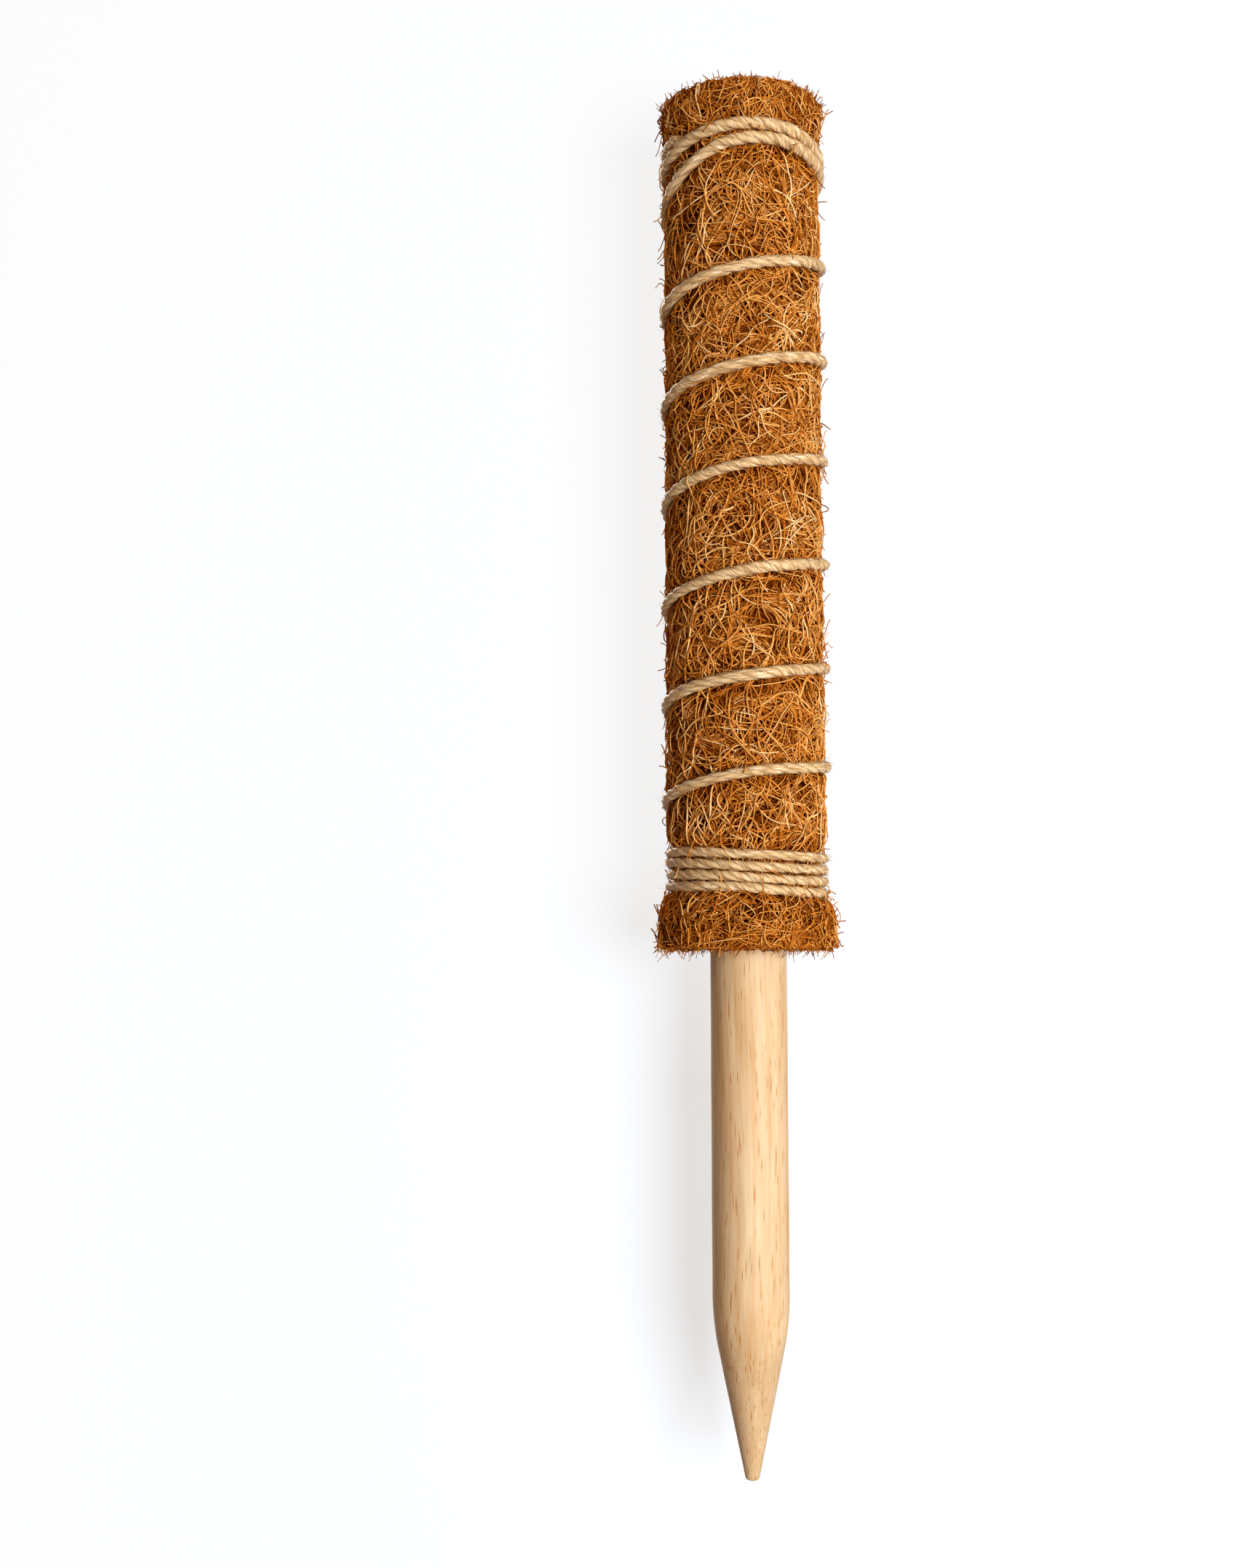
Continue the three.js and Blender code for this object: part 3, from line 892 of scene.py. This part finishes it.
def makeTwineHairs(line, along, lift, side, girth):
    count, points = hairs["count"], hairs["points"]
    where = random.integers(hairs["clearEnds"], len(line) - hairs["clearEnds"], count)
    angle = random.uniform(-hairs["around"], hairs["around"], count)[:, None]
    out = np.cos(angle) * lift[where] + np.sin(angle) * side[where]
    loose = random.random(count)[:, None] < hairs["loose"]
    half = (twine["diameter"] / 2 * girth[where])[:, None]
    start = line[where] + out * (half - np.where(loose, *hairs["rooted"]))
    ways = random.choice([-1.0, 1.0], count)[:, None]
    twisted = np.cross(along[where], out)
    slant = random.normal(hairs["slant"], np.where(loose, *hairs["slantSpread"]))
    steepness = np.where(loose, random.uniform(*hairs["standing"], (count, 1)), hairs["lying"])
    heading = unit((along[where] + twisted * slant) * ways + out * steepness)
    length = random.uniform(*hairs["length"], count)
    looseCurl, lyingCurl = (random.normal(0, size, (count, 3)) for size in hairs["curl"])
    curl = np.where(loose, looseCurl, lyingCurl - hairs["cling"] * out)
    centres = curledPaths(start, heading, curl, length, points)
    outward = np.broadcast_to(np.cross(heading, out)[:, None, :], centres.shape)
    radii = random.uniform(*hairs["radius"], count)[:, None] * np.linspace(1, hairs["tip"], points)
    column = hairs["shadeFrom"] + random.integers(0, hairs["shades"], count) / coir["columns"]
    columns = np.stack([column, column + 1 / coir["columns"]], axis=1)
    return strandMesh("twine_hairs", centres, radii, outward, coir["sides"], columns,
                      lengthMapOf(count, points))


def juteMaterial():
    material, tree, shader = newMaterial("jute_twine")
    place = mapPlace(tree)
    across, along, _ = axesOf(tree, place)
    slanted = maths(tree, "ADD", across, maths(tree, "MULTIPLY", along, twine["threadSlant"]))
    lanes = addNode(tree, "ShaderNodeCombineXYZ", {
        0: maths(tree, "MULTIPLY", slanted, twine["threadsAcross"]),
        1: maths(tree, "MULTIPLY", along, twine["threadsAlong"]),
    })
    threads = noise(tree, lanes.outputs[0], scale=1.0, detail=3.0, roughness=0.6)
    patches = noise(tree, place, scale=9.0, detail=2.0)
    colour = colourRamp(tree, threads, (
        (0.28, fromSrgb(152, 113, 74)),
        (0.45, fromSrgb(200, 160, 107)),
        (0.58, fromSrgb(231, 202, 157)),
        (0.7, fromSrgb(250, 236, 212)),
    ))
    level = mapRange(tree, patches, 0.3, 0.7, 0.84, 1.12)
    # painted shade and painted highlight: each strand darker in the grooves beside its neighbours, paler
    # along its outer ridge
    roundStrand = maths(tree, "MULTIPLY", across, twine["strands"] * fullTurn)
    paintedCrest = maths(tree, "MULTIPLY", maths(tree, "SINE", roundStrand), -1.0)
    level = maths(tree, "MULTIPLY", level, mapRange(tree, paintedCrest, -0.3, 0.8, 0.70, 1.06))
    addBump(tree, shader, threads, strength=0.7, depth=0.3 * mm)
    colour = timesLevel(tree, colour, level)
    feed(tree, shader, {"Base Color": colour, "Roughness": 0.42, "Specular IOR Level": 0.22})
    return material


jute = juteMaterial()
twinePiece, *twineLine = makeTwine()
twineHairs = makeTwineHairs(*twineLine)
for piece in (twinePiece, twineHairs):
    piece.data.materials.append(jute)
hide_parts("twine")
print("twine")


# Stake: a turned dowel with a blunt point

stake = {
    "diameter": 22,
    "top": 246,
    "shoulder": -106,
    "tip": -150,
    "tipDiameter": 3.8,
    "sides": 96,
    "eased": (("top", 1.0, 3), ("tip", 0.9, 4), ("shoulder", 7, 8)),  # mm and steps
    "longEdge": 20,  # mm, past which an edge is divided
    "rings": 44,
    "unevenness": 0.16,
    "unevenSize": 14,
    "smoothAngle": 32,
}

wood = {
    "drift": (0.004, 0.004, 0),  # m that the grain wanders
    "broadGrain": (260, 22),  # across and along the stake
    "fineGrain": (1300, 60),
    "pores": ((820, 68, False), (1080, 120, False), (1150, 520, True)),  # True: only on the point
    "poreDark": 0.95,
    "heart": (0.031, 0.012, 0),  # m, the middle of the growth rings
    "ringStretch": (1, 1, 0.03),
    "pointBlend": 12,  # mm below the shoulder
    "pointDark": 0.14,
}


def makeStake():
    nothingSelected()
    length = (stake["top"] - stake["shoulder"]) * mm
    bpy.ops.mesh.primitive_cylinder_add(
        vertices=stake["sides"], radius=stake["diameter"] / 2 * mm, depth=length,
        location=(0, 0, stake["shoulder"] * mm + length / 2))
    piece = bpy.context.object
    piece.name = "stake_dowel"
    bpy.ops.object.transform_apply(location=True, rotation=True, scale=True)
    bpy.ops.object.mode_set(mode="EDIT")
    selectParts(piece, "FACE", lambda face: face.normal.z < -0.9)
    bpy.ops.mesh.extrude_region_move(
        TRANSFORM_OT_translate={"value": (0, 0, (stake["tip"] - stake["shoulder"]) * mm)})
    taper = stake["tipDiameter"] / stake["diameter"]
    bpy.ops.transform.resize(value=(taper, taper, 1), center_override=(0, 0, stake["tip"] * mm))
    for corner, width, steps in stake["eased"]:
        level = stake[corner] * mm
        selectParts(piece, "EDGE", lambda edge: all(abs(v.co.z - level) < 1e-6 for v in edge.verts))
        bpy.ops.mesh.bevel(offset=width * mm, segments=steps, affect="EDGES")
    longest = stake["longEdge"] * mm
    selectParts(piece, "EDGE", lambda edge: abs(edge.verts[0].co.z - edge.verts[1].co.z) > longest)
    bpy.ops.mesh.subdivide(number_cuts=stake["rings"])
    bpy.ops.object.mode_set(mode="OBJECT")
    addLumps(piece, "turning_marks", stake["unevenSize"], stake["unevenness"])
    applyModifiers(piece)
    bpy.ops.object.shade_smooth_by_angle(angle=math.radians(stake["smoothAngle"]))
    return piece


def woodMaterial():
    material, tree, shader = newMaterial("stake_wood")
    place = objectPlace(tree)
    drift = noise(tree, place, scale=16.0, detail=1.0, output="Color")
    grainPlace = vectorMaths(tree, "ADD", place, vectorMaths(tree, "MULTIPLY", drift, wood["drift"]))

    def stretched(across, along):
        return vectorMaths(tree, "MULTIPLY", grainPlace, (across, across, along))

    broad = noise(tree, stretched(*wood["broadGrain"]), scale=1.0, detail=3.0)
    fine = noise(tree, stretched(*wood["fineGrain"]), scale=1.0, detail=3.0)
    colour = colourRamp(tree, broad, (
        (0.3, fromSrgb(207, 168, 120)),
        (0.48, fromSrgb(219, 187, 145)),
        (0.66, fromSrgb(226, 200, 160)),
    ))
    colour = timesLevel(tree, colour, mapRange(tree, fine, 0.3, 0.65, 0.9, 1.03))
    pointStart, pointEnd = stake["shoulder"], stake["shoulder"] - wood["pointBlend"]
    onPoint = mapRange(tree, axesOf(tree, place)["Z"], pointStart * mm, pointEnd * mm)
    poreMask = None
    for across, along, pointOnly in wood["pores"]:
        pores = addNode(tree, "ShaderNodeTexVoronoi", {"Vector": stretched(across, along), "Scale": 1.0})
        chosen = addNode(tree, "ShaderNodeSeparateColor", {0: pores.outputs["Color"]}).outputs[0]
        near = mapRange(tree, pores.outputs["Distance"], 0.06, 0.28, 1.0, 0.0)
        mask = maths(tree, "MULTIPLY", near, mapRange(tree, chosen, 0.1, 0.45))
        mask = maths(tree, "MULTIPLY", mask, onPoint) if pointOnly else mask
        poreMask = mask if poreMask is None else maths(tree, "MAXIMUM", poreMask, mask)
    ringPlace = vectorMaths(tree, "SUBTRACT", grainPlace, wood["heart"])
    ringPlace = vectorMaths(tree, "MULTIPLY", ringPlace, wood["ringStretch"])
    rings = addNode(
        tree, "ShaderNodeTexWave",
        {"Vector": ringPlace, "Scale": 78.0, "Distortion": 2.0, "Detail": 2.0, "Detail Scale": 1.5},
        wave_type="RINGS", rings_direction="Z", wave_profile="SAW")
    late = mapRange(tree, rings.outputs["Fac"], 0.8, 1.0, 0.0, 0.3)
    inPores = maths(tree, "MULTIPLY", poreMask, wood["poreDark"])
    colour = mixColour(tree, late, colour, fromSrgb(206, 142, 78))
    colour = mixColour(tree, inPores, colour, fromSrgb(192, 132, 66))
    colour = mixColour(tree, maths(tree, "MULTIPLY", onPoint, wood["pointDark"]), colour,
                       fromSrgb(120, 84, 44))
    relief = maths(tree, "SUBTRACT", maths(tree, "MULTIPLY", fine, 0.4), poreMask)
    addBump(tree, shader, relief, strength=0.5, depth=0.15 * mm)
    feed(tree, shader, {"Base Color": colour, "Roughness": 0.5, "Specular IOR Level": 0.15})
    return material


dowel = makeStake()
dowel.data.materials.append(woodMaterial())
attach(dowel, "root")
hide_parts("stake")
print("stake")


# Staples: flat wire, driven through the twine into the dowel at the back

staples = {
    "names": ("twine_staple_lower", "twine_staple_upper"),
    "turns": (3.6, 9.6),  # of the twine
    "wide": 1.2,
    "thick": 0.9,
    "crown": 10,
    "overTwine": 0.95,  # mm to the crown's outside
    "legEnd": 6.0,  # mm from the pole's axis
    "ease": 0.28,
    "easeSteps": 3,
    "smoothAngle": 40,
}


def makeStaple(node, turn):
    nothingSelected()
    low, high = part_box(node)
    angle = turn * fullTurn
    height = (low.z + high.z) / 2
    farthest = math.hypot(max(-low.x, high.x), max(-low.y, high.y))
    overTwine = boundRadius(angle, height / mm) + twine["diameter"] + staples["overTwine"]
    outer = min(farthest, overTwine * mm)
    bpy.ops.mesh.primitive_cube_add(size=1)
    piece = bpy.context.object
    piece.name = node + "_wire"
    piece.scale = (staples["wide"] * mm, staples["thick"] * mm, staples["crown"] * mm)
    bpy.ops.object.transform_apply(location=False, rotation=False, scale=True)
    bpy.ops.object.mode_set(mode="EDIT")
    inside = (staples["crown"] / 2 - staples["wide"]) * mm
    for level in (inside, -inside):
        bpy.ops.mesh.select_all(action="SELECT")
        bpy.ops.mesh.bisect(plane_co=(0, 0, level), plane_no=(0, 0, 1))
    selectParts(piece, "FACE", lambda face: face.normal.y > 0.9
                and abs(face.calc_center_median().z) > inside)
    leg = outer - staples["thick"] * mm - staples["legEnd"] * mm
    bpy.ops.mesh.extrude_region_move(TRANSFORM_OT_translate={"value": (0, leg, 0)})
    bpy.ops.object.mode_set(mode="OBJECT")
    rounded = piece.modifiers.new("rounded", "BEVEL")
    rounded.width = staples["ease"] * mm
    rounded.segments = staples["easeSteps"]
    applyModifiers(piece)
    piece.rotation_euler.z = angle
    piece.location = Vector((math.sin(angle), -math.cos(angle), 0)) * (outer - staples["thick"] / 2 * mm)
    piece.location.z = height
    bpy.ops.object.transform_apply(location=True, rotation=True, scale=True)
    bpy.ops.object.shade_smooth_by_angle(angle=math.radians(staples["smoothAngle"]))
    return piece


def steelMaterial():
    material, tree, shader = newMaterial("staple_steel")
    place = objectPlace(tree)
    scuffs = noise(tree, place, scale=1600.0, detail=4.0)
    colour = colourRamp(tree, scuffs, (
        (0.35, (0.36, 0.37, 0.39, 1)),
        (0.65, (0.60, 0.61, 0.63, 1)),
    ))
    roughness = mapRange(tree, scuffs, 0.3, 0.7, 0.25, 0.5)
    feed(tree, shader, {"Base Color": colour, "Roughness": roughness, "Metallic": 1.0})
    return material


steel = steelMaterial()
for node, turn in zip(staples["names"], staples["turns"]):
    wire = makeStaple(node, turn)
    wire.data.materials.append(steel)
    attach(wire, "root")
    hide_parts(node)
for name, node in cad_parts.items():
    if name.startswith("mat_staple"):
        node.material_slots[0].material = steel
print("staples")


# Stage: a white surface behind the pole that only the camera sees, and soft light from the right

stage = {
    "behind": 28,  # mm
    "size": 3.0,  # m
    "whiteness": 0.99,
    "shadowTint": (0.85, 0.97, 1.12),
    "shadowDepth": (0.12, 0.30),  # in most places, and beside the bare stake
    "besideStake": (0.05, 0.15),  # m to each side
    "underMat": (-0.04, 0.03),  # m along the pole
    "fade": (0.32, 1.1),  # m, no shadow past this
    "worldLight": 0.2,
    "fillColour": (1, 0.62, 0.34, 1),
    "aim": (0, 0, 0.06),  # m
    "lampSize": 0.8,  # m
    "lamps": (
        {"name": "key", "power": 26.5, "place": (0.64, -1.235, -0.08), "colour": (1, 1, 1), "shine": 1},
        {"name": "back", "power": 22, "place": (-0.3, 1.2, 0.85), "colour": (1, 0.86, 0.72), "shine": 0},
    ),
}


def makeStage():
    nothingSelected()
    bpy.ops.mesh.primitive_plane_add(size=stage["size"], location=(0, stage["behind"] * mm, 0),
                                     rotation=(math.radians(90), 0, 0))
    surface = bpy.context.object
    surface.name = "white_surface"
    material, tree, shader = newMaterial("white_surface")
    tree.nodes.remove(shader)
    path = addNode(tree, "ShaderNodeLightPath")
    facing = addNode(tree, "ShaderNodeNewGeometry")
    front = maths(tree, "SUBTRACT", 1.0, facing.outputs["Backfacing"])
    seen = maths(tree, "MULTIPLY", path.outputs["Is Camera Ray"], front)
    place = objectPlace(tree)
    sideways, upwards, _ = axesOf(tree, place)
    beside = mapRange(tree, maths(tree, "ABSOLUTE", sideways), *stage["besideStake"], 1.0, 0.0)
    under = mapRange(tree, upwards, *stage["underMat"], 1.0, 0.0)
    depth = mapRange(tree, maths(tree, "MULTIPLY", beside, under), 0.0, 1.0, *stage["shadowDepth"])
    away = addNode(tree, "ShaderNodeVectorMath", {0: place}, operation="LENGTH").outputs["Value"]
    depth = maths(tree, "MULTIPLY", depth, mapRange(tree, away, *stage["fade"], 1.0, 0.0))
    tint = {0: stage["shadowTint"], "Scale": depth}
    tinted = addNode(tree, "ShaderNodeVectorMath", tint, operation="SCALE").outputs[0]
    paper = addNode(tree, "ShaderNodeBsdfDiffuse", {"Color": tinted})
    strength = maths(tree, "SUBTRACT", stage["whiteness"], depth)
    glow = addNode(tree, "ShaderNodeEmission", {"Color": white, "Strength": strength})
    lit = addNode(tree, "ShaderNodeAddShader", {0: paper.outputs[0], 1: glow.outputs[0]})
    clear = addNode(tree, "ShaderNodeBsdfTransparent")
    mixed = addNode(tree, "ShaderNodeMixShader", {0: seen, 1: clear.outputs[0], 2: lit.outputs[0]})
    tree.links.new(mixed.outputs[0], tree.nodes["Material Output"].inputs["Surface"])
    surface.data.materials.append(material)


def makeLight():
    world = bpy.data.worlds.new("studio")
    bpy.context.scene.world = world
    world.use_nodes = True
    tree = world.node_tree
    path = addNode(tree, "ShaderNodeLightPath")
    direct = maths(tree, "MAXIMUM", path.outputs["Is Camera Ray"], path.outputs["Is Transmission Ray"])
    direct = maths(tree, "MAXIMUM", direct, path.outputs["Is Glossy Ray"])
    strength = mapRange(tree, direct, 0.0, 1.0, stage["worldLight"], 1.0)
    tint = mixColour(tree, direct, stage["fillColour"], white)
    feed(tree, tree.nodes["Background"], {"Color": tint, "Strength": strength})
    for settings in stage["lamps"]:
        data = bpy.data.lights.new(settings["name"], "AREA")
        data.energy = settings["power"]
        data.color = settings["colour"]
        data.specular_factor = settings["shine"]
        data.size = stage["lampSize"]
        lamp = bpy.data.objects.new(settings["name"], data)
        lamp.location = settings["place"]
        lamp.rotation_euler = (Vector(stage["aim"]) - lamp.location).to_track_quat("-Z", "Y").to_euler()
        bpy.context.scene.collection.objects.link(lamp)
    bpy.context.scene.view_settings.view_transform = "Standard"


makeStage()
makeLight()
print("stage and light")
